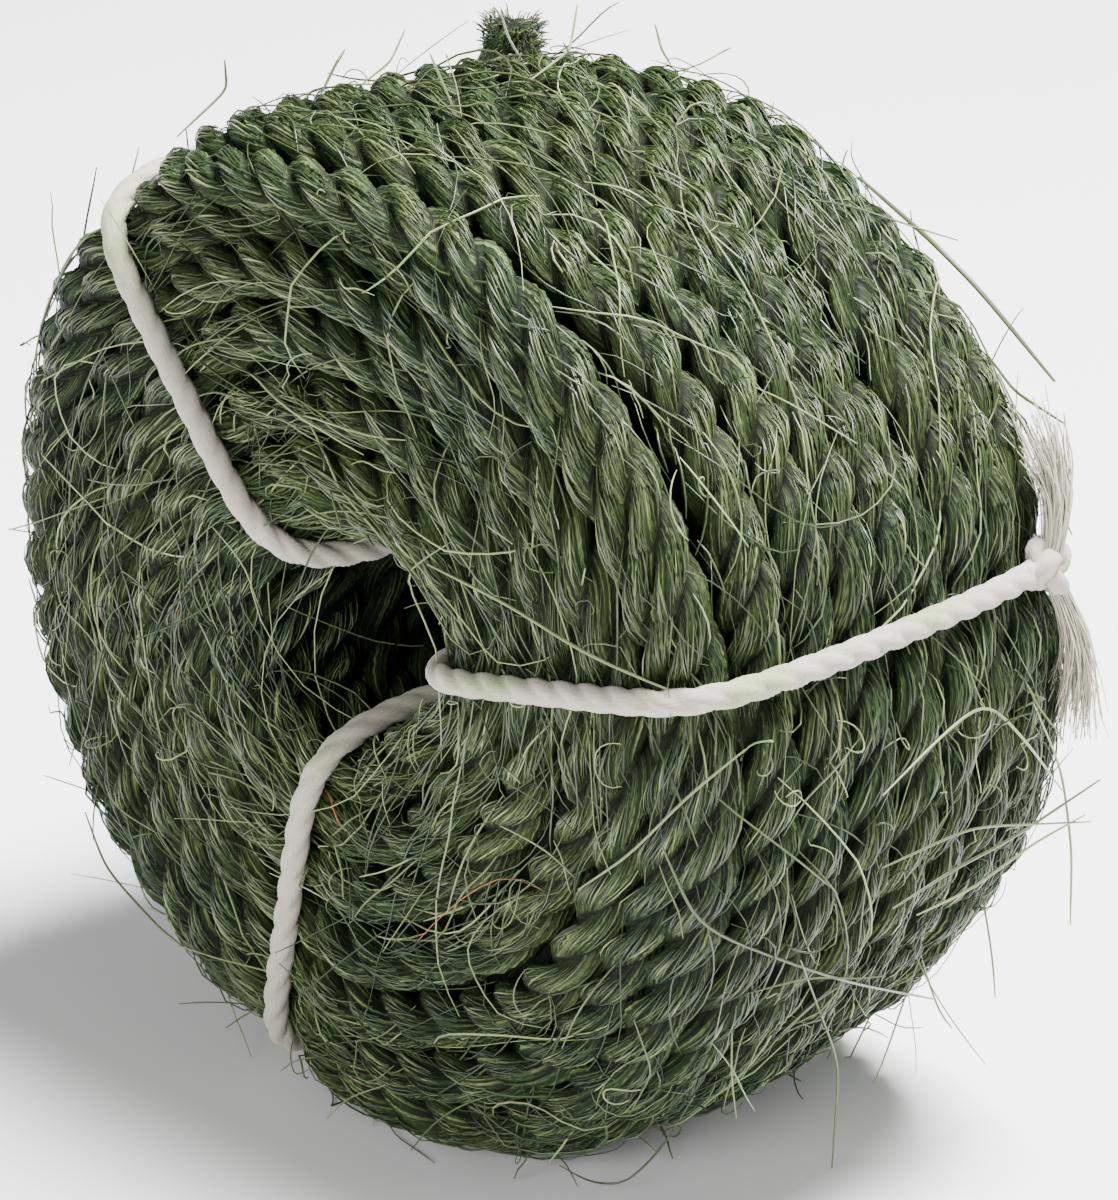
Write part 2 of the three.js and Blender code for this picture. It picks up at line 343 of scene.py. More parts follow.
def quirks_at(turn, angle):
    shift, rise = np.zeros_like(turn), np.zeros_like(turn)
    for row_turn, row_angle, spread, row_shift, row_rise in QUIRKS:
        off_turn = np.mod(turn - row_turn + TURNS / 2, TURNS) - TURNS / 2
        off_angle = np.mod(np.degrees(angle) - row_angle + 180, 360) - 180
        weight = np.exp(-((off_turn / QUIRK_WIDTH) ** 2) - (off_angle / spread) ** 2)
        shift += row_shift * weight
        rise += row_rise * weight
    return shift, rise


def rope_radius():
    return bpy.context.scene.rope_sizes.diameter / MM / 2


def rope_centre(wound):
    """The middle of the rope and its way out of the winding, along the whole winding."""
    turn, angle = turn_at(wound)
    shift, rise = quirks_at(turn, angle)
    share = (turn + shift + TURN_WANDER * wander(wound, 11)) / TURNS
    lift = rise + LIFT_WANDER * wander(wound, 12) + 0.15 - rope_radius()
    return on_winding(angle, share, lift)


def unit(vectors):
    return vectors / np.linalg.norm(vectors, axis=-1, keepdims=True)


def length_along(points):
    """The length along a line of points, at each of them."""
    return np.concatenate([[0], np.cumsum(np.linalg.norm(np.diff(points, axis=0), axis=1))])


def smooth_route(places, steps, rounds):
    """An even line of so many points through places given from the axis, rounded off so many times."""
    route = np.array(places) + (0, 0, AXIS_HEIGHT)
    at = np.linspace(0, len(route) - 1, steps)
    points = np.stack([np.interp(at, np.arange(len(route)), route[:, i]) for i in range(3)], axis=-1)
    for _ in range(rounds):
        points[1:-1] = (points[:-2] + 2 * points[1:-1] + points[2:]) / 4
    return points


def rope_frame(wound):
    """Centre, outward, sideways and forward directions of the rope."""
    centre, facing = rope_centre(wound)
    ahead, _ = rope_centre(wound + 0.01)
    behind, _ = rope_centre(wound - 0.01)
    forward = unit(ahead - behind)
    outward = unit(facing - forward * np.sum(facing * forward, axis=-1, keepdims=True))
    return centre, outward, np.cross(forward, outward), forward


class Winding:
    """The rope's length along the winding, and the strands' twist that goes with it."""

    def __init__(self, lay):
        self.wound = np.linspace(0, TURNS * TAU, TURNS * 360 + 1)
        centre, _ = rope_centre(self.wound)
        self.length = length_along(centre)
        self.whole = self.length[-1]
        self.lay = self.whole / round(self.whole / lay)

    def length_at(self, wound):
        lap = np.floor(wound / (TURNS * TAU))
        return np.interp(wound - lap * TURNS * TAU, self.wound, self.length) + lap * self.whole

    def wound_at(self, length):
        lap = np.floor(length / self.whole)
        return np.interp(length - lap * self.whole, self.length, self.wound) + lap * TURNS * TAU

    def lay_wander(self, length):
        return LAY_WANDER * wander(length / self.whole * TURNS * TAU, 13)

    def run_at(self, length):
        """Length with the lay's unevenness in it, which is what the strands turn by."""
        return length + self.lay_wander(length)


# Making meshes.


def mesh_from(name, points, edges=(), faces=()):
    """A mesh from points in millimetres."""
    mesh = bpy.data.meshes.new(name)
    mesh.from_pydata(np.asarray(points) * MM, edges, faces)
    return mesh


def set_attribute(mesh, name, kind, values):
    field = {"FLOAT": "value", "FLOAT_VECTOR": "vector"}[kind]
    mesh.attributes.new(name, kind, "POINT").data.foreach_set(field, np.asarray(values, dtype=float).ravel())


def lines_mesh(name, bundles):
    """One mesh of many open lines. Each bundle is a dict of points (lines, steps, 3) and per-point values."""
    points, edges, start = [], [], 0
    values = {key: [] for key in bundles[0] if key != "points"}
    for bundle in bundles:
        lines, steps, _ = bundle["points"].shape
        points.append(bundle["points"].reshape(-1, 3))
        at = np.arange(lines * steps).reshape(lines, steps) + start
        edges.append(np.stack([at[:, :-1], at[:, 1:]], axis=-1).reshape(-1, 2))
        for key in values:
            shape = (lines, steps) + np.shape(bundle[key])[2:]
            values[key].append(np.broadcast_to(bundle[key], shape).reshape((lines * steps,) + shape[2:]))
        start += lines * steps
    points, edges = np.concatenate(points), np.concatenate(edges)
    mesh = bpy.data.meshes.new(name)
    mesh.vertices.add(len(points))
    mesh.vertices.foreach_set("co", (points * MM).ravel())
    mesh.edges.add(len(edges))
    mesh.edges.foreach_set("vertices", edges.ravel())
    for key, parts in values.items():
        whole = np.concatenate(parts)
        set_attribute(mesh, key, "FLOAT_VECTOR" if whole.ndim == 2 else "FLOAT", whole)
    mesh.update()
    return mesh


class Tree:
    """Adds nodes to a node tree; a value for a socket is a number, a material or another node's output."""

    def __init__(self, tree):
        self.tree = tree

    def add(self, kind, inputs=(), output=0, **settings):
        node = self.tree.nodes.new(kind)
        for key, value in settings.items():
            setattr(node, key, value)
        for key, value in dict(inputs).items():
            if isinstance(key, int):
                socket = node.inputs[key]
            else:
                socket = next(s for s in node.inputs if s.name == key and s.enabled)
            if isinstance(value, bpy.types.NodeSocket):
                self.tree.links.new(value, socket)
            else:
                socket.default_value = value
        if isinstance(output, int):
            return [s for s in node.outputs if s.enabled][output]
        return node.outputs[output]

    def math(self, operation, *values):
        return self.add("ShaderNodeMath", enumerate(values), operation=operation)

    def vector(self, operation, *values):
        return self.add("ShaderNodeVectorMath", enumerate(values), operation=operation)

    def scaled(self, vector, size):
        return self.add("ShaderNodeVectorMath", {0: vector, "Scale": size}, operation="SCALE")


def geometry_tree(name, sizes):
    """A geometry tree with one geometry input and named inputs for its sizes."""
    group = bpy.data.node_groups.new(name, "GeometryNodeTree")
    group.interface.new_socket(name="Geometry", in_out="INPUT", socket_type="NodeSocketGeometry")
    for label, kind in sizes:
        group.interface.new_socket(name=label, in_out="INPUT", socket_type=kind)
    group.interface.new_socket(name="Geometry", in_out="OUTPUT", socket_type="NodeSocketGeometry")
    given = group.nodes.new("NodeGroupInput")
    return group, Tree(group), {s.name: s for s in given.outputs if s.name}


def finish_tree(group, tree, geometry, material):
    realized = tree.add("GeometryNodeRealizeInstances", {"Geometry": geometry})
    smooth = tree.add("GeometryNodeSetShadeSmooth", {"Geometry": realized})
    coloured = tree.add("GeometryNodeSetMaterial", {"Geometry": smooth, "Material": material})
    group.links.new(coloured, group.nodes.new("NodeGroupOutput").inputs[0])


def strand_tree():
    """Lays three strands into a rope along each line of the mesh it is given.

    The lines carry facing, the way out of the winding, run, the length that the strands turn by, and swell.
    """
    group, tree, given = geometry_tree(
        "Lay Strands",
        (
            ("Diameter", "NodeSocketFloat"),
            ("Lay Length", "NodeSocketFloat"),
            ("Strand Offset", "NodeSocketFloat"),
            ("Points on a Strand", "NodeSocketInt"),
            ("Unevenness", "NodeSocketFloat"),
            ("Seed", "NodeSocketFloat"),
            ("Material", "NodeSocketMaterial"),
        ),
    )

    def attribute(name, kind):
        return tree.add("GeometryNodeInputNamedAttribute", {"Name": name}, data_type=kind)

    line = tree.add("GeometryNodeMeshToCurve", {"Mesh": given["Geometry"]})
    facing = attribute("facing", "FLOAT_VECTOR")
    line = tree.add("GeometryNodeSetCurveNormal", {"Curve": line, "Normal": facing}, mode="FREE")
    turned = tree.math("MULTIPLY", tree.math("DIVIDE", attribute("run", "FLOAT"), given["Lay Length"]), TAU)
    line = tree.add("GeometryNodeSetCurveTilt", {"Curve": line, "Tilt": turned})
    radius = tree.math("MULTIPLY", tree.math("MULTIPLY", given["Diameter"], 0.5), attribute("swell", "FLOAT"))

    count = given["Points on a Strand"]
    ring = tree.add(
        "GeometryNodeCurvePrimitiveCircle", {"Resolution": tree.math("MULTIPLY", count, 3.0), "Radius": 1.0}
    )
    at = tree.math("DIVIDE", tree.add("GeometryNodeInputIndex"), count)
    share = tree.math("SUBTRACT", tree.math("FRACT", tree.math("ADD", at, 0.5)), 0.5)
    on_strand = tree.math("MULTIPLY", share, TAU / 3)
    strand = tree.math("MULTIPLY", tree.math("FLOOR", tree.math("ADD", at, 0.5)), TAU / 3)
    cos, sin = tree.math("COSINE", on_strand), tree.math("SINE", on_strand)
    offset = given["Strand Offset"]
    size = tree.math("SUBTRACT", 1.0, offset)
    across = tree.math("MULTIPLY", sin, offset)
    inside = tree.math("SUBTRACT", tree.math("MULTIPLY", size, size), tree.math("MULTIPLY", across, across))
    distance = tree.math("ADD", tree.math("MULTIPLY", cos, offset), tree.math("SQRT", inside))
    way = tree.math("ADD", on_strand, strand)
    point = tree.add(
        "ShaderNodeCombineXYZ",
        {
            "X": tree.math("MULTIPLY", distance, tree.math("COSINE", way)),
            "Y": tree.math("MULTIPLY", distance, tree.math("SINE", way)),
        },
    )
    middle = tree.add(
        "ShaderNodeCombineXYZ",
        {
            "X": tree.math("MULTIPLY", tree.math("COSINE", strand), offset),
            "Y": tree.math("MULTIPLY", tree.math("SINE", strand), offset),
        },
    )
    ring = tree.add(
        "GeometryNodeStoreNamedAttribute",
        {"Geometry": ring, "Name": "on_strand", "Value": tree.vector("SUBTRACT", point, middle)},
        data_type="FLOAT_VECTOR",
        domain="POINT",
    )
    ring = tree.add(
        "GeometryNodeStoreNamedAttribute",
        {"Geometry": ring, "Name": "depth", "Value": distance},
        data_type="FLOAT",
        domain="POINT",
    )
    ring = tree.add("GeometryNodeSetPosition", {"Geometry": ring, "Position": point})
    rope = tree.add(
        "GeometryNodeCurveToMesh", {"Curve": line, "Profile Curve": ring, "Scale": radius, "Fill Caps": True}
    )

    spot = tree.vector("ADD", tree.scaled(tree.add("GeometryNodeInputPosition"), 260.0), given["Seed"])
    bump = tree.add("ShaderNodeTexNoise", {"Vector": spot, "Scale": 1.0, "Detail": 1.5}, output=0)
    bump = tree.math("MULTIPLY", tree.math("SUBTRACT", bump, 0.5), tree.math("MULTIPLY", given["Unevenness"], 2.0))
    rope = tree.add(
        "GeometryNodeSetPosition",
        {"Geometry": rope, "Offset": tree.scaled(tree.add("GeometryNodeInputNormal"), bump)},
    )
    place = tree.add("GeometryNodeInputPosition")
    apart = tree.add("ShaderNodeSeparateXYZ", {0: place}, output="Z").node
    pressed = tree.add(
        "ShaderNodeCombineXYZ",
        {"X": apart.outputs["X"], "Y": apart.outputs["Y"], "Z": tree.math("MAXIMUM", apart.outputs["Z"], 0.0)},
    )
    rope = tree.add("GeometryNodeSetPosition", {"Geometry": rope, "Position": pressed})
    finish_tree(group, tree, rope, given["Material"])
    return group


def fibre_tree():
    """Draws a thin closed fibre along each line of the mesh it is given. The lines carry thick, in metres."""
    group, tree, given = geometry_tree("Draw Fibres", (("Sides", "NodeSocketInt"), ("Material", "NodeSocketMaterial")))
    line = tree.add("GeometryNodeMeshToCurve", {"Mesh": given["Geometry"]})
    thick = tree.add("GeometryNodeInputNamedAttribute", {"Name": "thick"}, data_type="FLOAT")
    ring = tree.add("GeometryNodeCurvePrimitiveCircle", {"Resolution": given["Sides"], "Radius": 1.0})
    fibres = tree.add(
        "GeometryNodeCurveToMesh", {"Curve": line, "Profile Curve": ring, "Scale": thick, "Fill Caps": True}
    )
    finish_tree(group, tree, fibres, given["Material"])
    return group


def make_piece(name, mesh, group_name, sizes):
    """Runs a geometry tree on a mesh and leaves a plain object of the result."""
    carrier = bpy.data.objects.new(name + "_lines", mesh)
    bpy.context.scene.collection.objects.link(carrier)
    modifier = carrier.modifiers.new("Make", "NODES")
    group = bpy.data.node_groups[group_name]
    modifier.node_group = group
    for socket in group.interface.items_tree:
        if socket.in_out == "INPUT" and socket.name in sizes:
            modifier[socket.identifier] = sizes[socket.name]
    made = bpy.data.meshes.new_from_object(carrier.evaluated_get(bpy.context.evaluated_depsgraph_get()))
    bpy.data.objects.remove(carrier)
    bpy.data.meshes.remove(mesh)
    if not made.polygons:
        raise RuntimeError(f"{name} came out empty")
    made.name = name
    piece = bpy.data.objects.new(name, made)
    bpy.context.scene.collection.objects.link(piece)
    return piece


def settle_piece(piece, slot, *nodes):
    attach(piece, "root")
    if nodes:
        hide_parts(*nodes)


def laid_rope(name, points, facing, run, swell, material, sizes, offset, points_on_strand=8, seed=0.0):
    mesh = lines_mesh(
        name,
        [{"points": points[None], "facing": facing[None], "run": run[None] * MM, "swell": swell[None]}],
    )
    return make_piece(
        name,
        mesh,
        "Lay Strands",
        {
            "Diameter": sizes.diameter,
            "Lay Length": sizes.lay,
            "Strand Offset": offset,
            "Points on a Strand": points_on_strand,
            "Unevenness": getattr(sizes, "unevenness", STRING_UNEVENNESS),
            "Seed": seed,
            "Material": bpy.data.materials[material],
        },
    )


def fibres_piece(name, bundles, material, sides=3):
    return make_piece(
        name, lines_mesh(name, bundles), "Draw Fibres", {"Sides": sides, "Material": bpy.data.materials[material]}
    )


# Materials.


def new_material(name):
    material = bpy.data.materials.new(name)
    material.use_nodes = True
    material.node_tree.nodes.clear()
    tree = Tree(material.node_tree)
    shader = material.node_tree.nodes.new("ShaderNodeBsdfPrincipled")
    out = material.node_tree.nodes.new("ShaderNodeOutputMaterial")
    material.node_tree.links.new(shader.outputs[0], out.inputs[0])
    return tree, shader


def feed(tree, shader, name, value):
    tree.tree.links.new(value, shader.inputs[name])


def ramp(tree, factor, stops):
    """A colour ramp from rows of position and colour."""
    node = tree.add("ShaderNodeValToRGB", {0: factor}).node
    elements = node.color_ramp.elements
    while len(elements) < len(stops):
        elements.new(0.5)
    for element, (position, colour) in zip(elements, stops):
        element.position = position
        element.color = (*colour, 1)
    return node.outputs[0]


def mix_colour(tree, factor, first, second, blend="MIX"):
    node = tree.add("ShaderNodeMix", {"Factor": factor}, data_type="RGBA", blend_type=blend).node
    sockets = [s for s in node.inputs if s.enabled]
    for socket, value in zip(sockets[1:], (first, second)):
        if isinstance(value, bpy.types.NodeSocket):
            tree.tree.links.new(value, socket)
        else:
            socket.default_value = (*value, 1)
    return [s for s in node.outputs if s.enabled][0]


def attribute(tree, name, output):
    return tree.add("ShaderNodeAttribute", attribute_name=name, output=output)


def fibre_pattern(tree, turn_by, across, along):
    """Noise drawn out along the fibres of each strand."""
    run = attribute(tree, "run", "Fac")
    spot = attribute(tree, "on_strand", "Vector")
    turned = tree.add(
        "ShaderNodeVectorRotate", {"Vector": spot, "Angle": tree.math("MULTIPLY", run, turn_by)}, rotation_type="Z_AXIS"
    )
    flat = tree.scaled(turned, across)
    apart = tree.add("ShaderNodeSeparateXYZ", {0: flat}, output="X").node
    place = tree.add(
        "ShaderNodeCombineXYZ",
        {"X": apart.outputs["X"], "Y": apart.outputs["Y"], "Z": tree.math("MULTIPLY", run, along)},
    )
    return tree.add("ShaderNodeTexNoise", {"Vector": place, "Scale": 1.0, "Detail": 2.5, "Roughness": 0.6}, output=0)


def patches(tree, size, detail=2.0):
    spot = tree.add("ShaderNodeTexCoord", output="Object")
    return tree.add("ShaderNodeTexNoise", {"Vector": spot, "Scale": size, "Detail": detail}, output=0)


def dyed(tree, colours):
    """The dye's two greens in soft patches."""
    amount = ramp(tree, patches(tree, 38.0), ((0.42, (0, 0, 0)), (0.6, (1, 1, 1))))
    return mix_colour(tree, amount, colours.leaf, colours.blue_leaf)


def painted_shade_at_sides(tree, colour):
    """Painted shade: the colour darkens towards the coil's two sides along X."""
    place = tree.add("ShaderNodeTexCoord", output="Object")
    across = tree.add("ShaderNodeSeparateXYZ", {0: place}, output="X")
    along = tree.math("MULTIPLY_ADD", across, 9.0, 0.5)
    stops = ((0.0, (0.6, 0.6, 0.6)), (0.45, (1, 1, 1)), (0.7, (0.95, 0.95, 0.95)), (0.95, (0.68, 0.7, 0.68)))
    amount = ramp(tree, along, stops)
    return mix_colour(tree, 1.0, colour, amount, "MULTIPLY")


def make_materials():
    colours = bpy.context.scene.coil_colours

    # The core's copy of this material, at light 0.3, is painted shade: its colour and specular are darkened to stand in
    # for the shade inside the core.
    for name, light in (("sisal_rope", 1.0), ("sisal_core_painted_shade", 0.3)):
        tree, shader = new_material(name)
        fine = fibre_pattern(tree, FIBRE_TWIST / MM, 11.0, 90.0)
        dye = dyed(tree, colours)
        dark = mix_colour(tree, ramp(tree, fine, ((0.36, (0, 0, 0)), (0.52, (1, 1, 1)))), colours.shade, dye)
        pale = mix_colour(tree, ramp(tree, fine, ((0.54, (0, 0, 0)), (0.8, (1, 1, 1)))), dark, colours.sunlit)
        # Painted shade: the colour darkens to 0.12 of itself where depth is low, in the grooves between strands.
        near, far = (0.12 * light,) * 3, (light,) * 3
        depth = ramp(tree, attribute(tree, "depth", "Fac"), ((0.55, near), (0.95, far)))
        feed(tree, shader, "Base Color", painted_shade_at_sides(tree, mix_colour(tree, 1.0, pale, depth, "MULTIPLY")))
        feed(tree, shader, "Roughness", tree.math("ADD", tree.math("MULTIPLY", fine, -0.3), 0.8))
        shader.inputs["Specular IOR Level"].default_value = 0.14 * light
        feed(tree, shader, "Normal", tree.add("ShaderNodeBump", {"Strength": 0.9, "Distance": 0.0004, "Height": fine}))

    tree, shader = new_material("sisal_fibre")
    tone = attribute(tree, "tone", "Fac")
    dye = dyed(tree, colours)
    middle = tuple(a * 0.68 + b * 0.32 for a, b in zip(colours.leaf, colours.sunlit))
    body = mix_colour(tree, ramp(tree, tone, ((0.3, (0, 0, 0)), (0.62, (1, 1, 1)))), dye, middle)
    light = mix_colour(tree, ramp(tree, tone, ((0.6, (0, 0, 0)), (0.93, (1, 1, 1)))), body, colours.sunlit)
    brown = mix_colour(tree, ramp(tree, tone, ((0.975, (0, 0, 0)), (0.985, (1, 1, 1)))), light, colours.rust)
    feed(tree, shader, "Base Color", painted_shade_at_sides(tree, brown))
    shader.inputs["Roughness"].default_value = 0.36
    shader.inputs["Specular IOR Level"].default_value = 0.55

    tree, shader = new_material("cotton_string")
    fine = fibre_pattern(tree, 900.0, 14.0, 700.0)
    stain = ramp(tree, patches(tree, 85.0), ((0.53, (0, 0, 0)), (0.66, (0.8, 0.8, 0.8))))
    base = mix_colour(tree, stain, colours.cotton, colours.stain)
    shadow = ramp(tree, fine, ((0.3, (0.72, 0.7, 0.68)), (0.6, (1, 1, 1))))
    # Painted shade: the string darkens where depth is low, in the grooves between its plies.
    depth = ramp(tree, attribute(tree, "depth", "Fac"), ((0.5, (0.6, 0.58, 0.55)), (0.85, (1, 1, 1))))
    lit = mix_colour(tree, 1.0, base, shadow, "MULTIPLY")
    feed(tree, shader, "Base Color", mix_colour(tree, 1.0, lit, depth, "MULTIPLY"))
    shader.inputs["Roughness"].default_value = 0.85
    shader.inputs["Sheen Weight"].default_value = 0.25
    bump = tree.add("ShaderNodeBump", {"Strength": 0.6, "Distance": 0.0002, "Height": fine})
    feed(tree, shader, "Normal", bump)

    tree, shader = new_material("cotton_filament")
    stained = tree.math("MULTIPLY", patches(tree, 120.0), 0.35)
    feed(tree, shader, "Base Color", mix_colour(tree, stained, colours.cotton, colours.stain))
    shader.inputs["Roughness"].default_value = 0.8


# Fibres.


class Fibres:
    """Draws routes for the fibres on the strands, and for the loose ones over the turns."""

    def __init__(self, winding, sizes, seed):
        self.winding = winding
        self.radius = rope_radius()
        self.thick = sizes.fibre / 2
        self.rng = np.random.default_rng(seed)

    def on_strands(self, first_turn, last_turn, per_lens):
        """Fibres that show where a strand comes to the surface, from one side of the strand to the other."""
        rng, winding = self.rng, self.winding
        start = winding.length_at(first_turn * TAU)
        stop = winding.length_at(last_turn * TAU)
        spacing = winding.lay / 3
        lenses = np.arange(math.ceil(start / spacing), math.floor(stop / spacing))
        lens = np.repeat(lenses, per_lens)
        count = len(lens)
        lean = rng.uniform(-1.05, 1.05, count)
        twist = FIBRE_TWIST * rng.uniform(0.7, 1.25, count)
        steps = np.linspace(-1, 1, 5)[None, :]
        along = (lean[:, None] + 1.3 * steps) / twist[:, None] * rng.uniform(0.75, 1.1, count)[:, None]
        run = lens[:, None] * spacing + along
        turn_by = TAU / winding.lay
        strand_way = turn_by * along
        fibre_way = strand_way + lean[:, None] - twist[:, None] * along
        rise = 0.07 + rng.uniform(-0.06, 0.16, count)[:, None] * (1 - steps**2) + 0.02
        rise = rise + (rng.random(count) < 0.12)[:, None] * 0.35 * (1 - steps**2)
        wound = winding.wound_at(run - winding.lay_wander(run))
        centre, outward, sideways, _ = rope_frame(wound)
        strand = ROPE_STRAND_OUT * self.radius
        reach = (1 - ROPE_STRAND_OUT) * self.radius + rise
        u = strand * np.cos(strand_way) + reach * np.cos(fibre_way)
        v = strand * np.sin(strand_way) + reach * np.sin(fibre_way)
        points = centre + u[..., None] * outward + v[..., None] * sideways
        # Painted highlight and shade: each fibre's tone is palest at the strand's crest and darkens towards its ends,
        # where the strand dips between its neighbours.
        tone = (rng.beta(1.3, 2.2, count) * 0.95)[:, None] * (0.2 + 0.9 * (1 - steps**2))
        return self.bundle(points, tone, rng.uniform(0.35, 0.9, count))

    def bundle(self, points, tone, thick):
        lines, steps, _ = points.shape
        points[..., 2] = np.maximum(points[..., 2], 0.22)
        taper = 1 - 0.45 * np.abs(np.linspace(-1, 1, steps)) ** 3
        return {
            "points": points,
            "thick": self.thick * thick[:, None] * taper[None, :],
            "tone": np.broadcast_to(tone if tone.ndim == 2 else tone[:, None], (lines, steps)),
        }

    def bumps(self, angle, share):
        """Height of the turns' surface above their lowest common surface, at any place on the winding."""
        turn = np.mod(share, 1) * TURNS
        step = stepped(np.mod(angle, TAU))
        shift, rise = quirks_at(turn, angle)
        off = np.mod(turn - step - shift + 0.5, 1) - 0.5
        reach = self.radius
        side = np.clip(np.abs(off) * TURN_SPACING, 0, reach * 0.86)
        return np.sqrt(reach**2 - side**2) - reach + rise

    def on_turns(self, angle, share, ahead, aside, least_radius):
        """Angles and shares of the places so far ahead and aside of where each fibre starts."""
        shares = share[:, None] + aside / SECTION_LENGTH
        points, _ = on_winding(angle[:, None], shares, 0)
        radius = np.hypot(points[..., 0], points[..., 2] - AXIS_HEIGHT)
        return angle[:, None] + ahead / np.maximum(radius, least_radius), shares

    def over_turns(self, count, together, low_share, high_share, steps, lengths, heading, curl, float_up, tones):
        """Fibres that lie over the turns, mostly along them, so many together."""
        rng = self.rng
        groups = count // together
        count = groups * together

        def shared(values, spread):
            return np.repeat(values, together) + rng.normal(0, spread, count) * (together > 1)

        share = shared(rng.uniform(low_share, high_share, groups), 0.005)
        angle = shared(rng.uniform(0, TAU, groups), 0.06)
        length = np.exp(rng.uniform(math.log(lengths[0]), math.log(lengths[1]), count))
        way = shared(rng.normal(0, heading, groups) + np.where(rng.random(groups) < 0.5, 0, math.pi), 0.14)
        bend = shared(rng.normal(0, curl, groups), 0.4)
        twist = shared(rng.normal(0, curl * 0.8, groups), 0.4)
        t = np.linspace(-0.5, 0.5, steps)[None, :]
        turned = way[:, None] + bend[:, None] * t + twist[:, None] * (t**2 - 0.1)
        step = length[:, None] / (steps - 1)
        ahead = np.cumsum(np.cos(turned) * step, axis=1)
        aside = np.cumsum(np.sin(turned) * step, axis=1)
        angles, shares = self.on_turns(angle, share, ahead, aside, 9)
        height = self.bumps(angles, shares)
        for _ in range(2):
            padded = np.pad(height, ((0, 0), (1, 1)), mode="edge")
            height = np.maximum(height, (padded[:, :-2] + padded[:, 1:-1] + padded[:, 2:]) / 3)
        tuck = -1.0 * np.abs(2 * t) ** 4
        arch = rng.gamma(1.3, float_up, count)[:, None] * (1 - (2 * t) ** 2)
        points, _ = on_winding(angles, shares, height + 0.22 + arch + tuck)
        return self.bundle(points, tones(rng, count), rng.uniform(0.4, 1.1, count))

    def curls(self, count, low_share, high_share):
        """Small open curls that stand off the turns."""
        rng = self.rng
        share, angle = rng.uniform(low_share, high_share, count), rng.uniform(0, TAU, count)
        t = np.linspace(0, 1, 11)[None, :]
        size = rng.uniform(0.8, 2.6, count)[:, None]
        sweep = rng.uniform(2.2, 6.0, count)[:, None] * np.where(rng.random(count) < 0.5, 1, -1)[:, None]
        start = rng.uniform(0, TAU, count)[:, None]
        drift = rng.uniform(1.0, 6.0, count)[:, None]
        lean = rng.normal(0, 0.5, count)[:, None]
        grow = 1 - 0.5 * t
        ahead = size * grow * np.cos(start + sweep * t) + drift * t * np.cos(lean)
        aside = size * grow * np.sin(start + sweep * t) + drift * t * np.sin(lean)
        angles, shares = self.on_turns(angle, share, ahead, aside, 12)
        rise = rng.uniform(0.4, 2.2, count)[:, None] * np.sin(np.pi * t * 0.8)
        points, _ = on_winding(angles, shares, self.bumps(angles, shares) + 0.2 + rise)
        return self.bundle(points, rng.beta(3, 2, count) * 0.9, rng.uniform(0.45, 0.95, count))

    def routed(self, rows):
        """Single fibres through the places given for each."""
        bundles = []
        for thick, *places in rows:
            points = smooth_route(places, 28, 8)
            bundles.append(self.bundle(points[None], self.rng.uniform(0.35, 0.8, 1), np.array([thick])))
        return bundles

    def flyaways(self, count, low_share, high_share, lengths=(4.0, 15.0)):
        """Fibres with one end held in the rope and the other free."""
        rng = self.rng
        share, angle = rng.uniform(low_share, high_share, count), rng.uniform(0, TAU, count)
        length = np.exp(rng.uniform(math.log(lengths[0]), math.log(lengths[1]), count))[:, None]
        t = np.linspace(0, 1, 9)[None, :]
        base, facing = on_winding(angle, share, -0.8)
        along = np.stack([-np.sin(angle), np.zeros(count), np.cos(angle)], axis=-1)
        along *= np.where(rng.random(count) < 0.5, 1, -1)[:, None]
        across = np.cross(along, facing)
        lean = rng.normal(0, 0.55, count)[:, None]
        climb = rng.uniform(0.12, 0.8, count)[:, None]
        start = unit(along + lean * across + climb * facing)
        turn_to = unit(rng.normal(0, 1, (count, 3)))
        bend = rng.uniform(0.0, 0.5, count)[:, None, None]
        points = base[:, None] + start[:, None] * (t * length)[..., None]
        points = points + turn_to[:, None] * bend * (t**2 * length)[..., None]
        points[..., 2] -= 0.12 * (t**2 * length)
        wave = rng.normal(0, 0.35, (count, 1, 3)) * np.sin(rng.uniform(3, 9, count)[:, None] * t)[..., None]
        points = points + wave * t[..., None]
        return self.bundle(points, rng.beta(2, 2, count) * 0.95, rng.uniform(0.4, 1.0, count))


def mixed_tones(rng, count):
    tone = rng.beta(1.2, 2.6, count) * 0.92
    rusty = rng.random(count) < 0.004
    return np.where(rusty, 0.99, tone)


def pale_tones(rng, count):
    return 0.55 + 0.4 * rng.random(count)


# Operators, one for each group of pieces.


